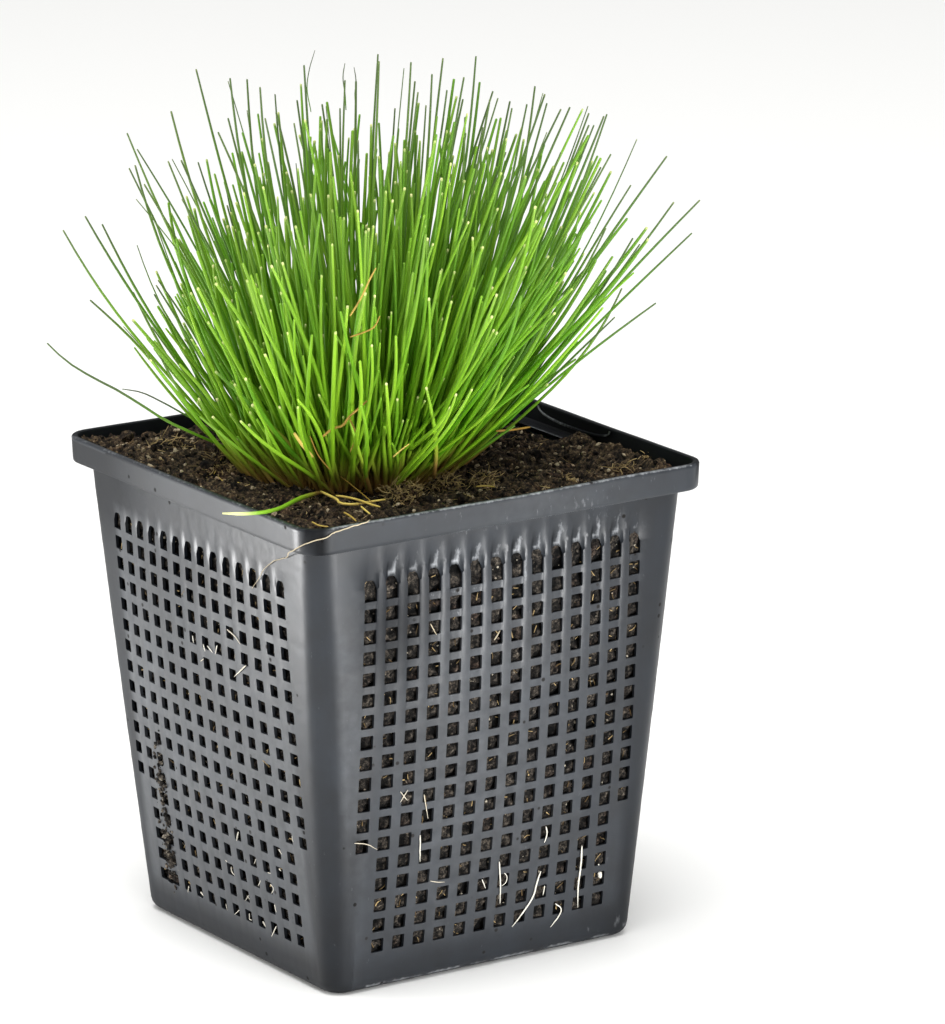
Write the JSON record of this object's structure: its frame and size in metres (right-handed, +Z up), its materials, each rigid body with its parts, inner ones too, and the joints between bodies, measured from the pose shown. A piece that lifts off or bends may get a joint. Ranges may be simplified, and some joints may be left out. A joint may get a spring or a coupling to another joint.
{
  "type": "potted fiber optic grass",
  "caption": "Low dome of thin green stems growing from peat in a tapered square mesh pond pot of black plastic.",
  "frame": {"origin": "middle of the pot's flat underside", "axes": "+Z up through the plant, +X and +Y square to two of the pot's walls"},
  "size_m": [0.1456, 0.1481, 0.1717],
  "materials": {
    "pot_plastic": "satin, moulded, scuffed",
    "peat": "crumbly, damp",
    "stems": "smooth living stem",
    "loose_stem": "smooth living stem, dried at its tip"
  },
  "bodies": {
    "root": {"loose_stem": "loose_stem", "mesh_pot": "pot_plastic", "outer_stem_01": "stems", "outer_stem_02": "stems", "outer_stem_03": "stems", "outer_stem_04": "stems", "outer_stem_05": "stems", "outer_stem_06": "stems", "outer_stem_07": "stems", "outer_stem_08": "stems", "outer_stem_09": "stems", "outer_stem_10": "stems", "outer_stem_11": "stems", "outer_stem_12": "stems", "soil": "peat", "tuft_01": "stems", "tuft_02": "stems", "tuft_03": "stems", "tuft_04": "stems", "tuft_05": "stems", "tuft_06": "stems", "tuft_07": "stems", "tuft_08": "stems", "tuft_09": "stems", "tuft_10": "stems", "tuft_11": "stems", "tuft_12": "stems", "tuft_13": "stems", "tuft_14": "stems", "tuft_15": "stems", "tuft_16": "stems", "tuft_17": "stems", "tuft_18": "stems", "tuft_19": "stems", "tuft_20": "stems", "tuft_21": "stems", "tuft_22": "stems", "tuft_23": "stems", "tuft_24": "stems", "tuft_25": "stems", "tuft_26": "stems", "tuft_27": "stems", "tuft_28": "stems", "tuft_29": "stems", "tuft_30": "stems", "tuft_31": "stems", "tuft_32": "stems", "tuft_33": "stems", "tuft_34": "stems", "tuft_35": "stems", "tuft_36": "stems", "tuft_37": "stems"}
  },
  "joints": []
}
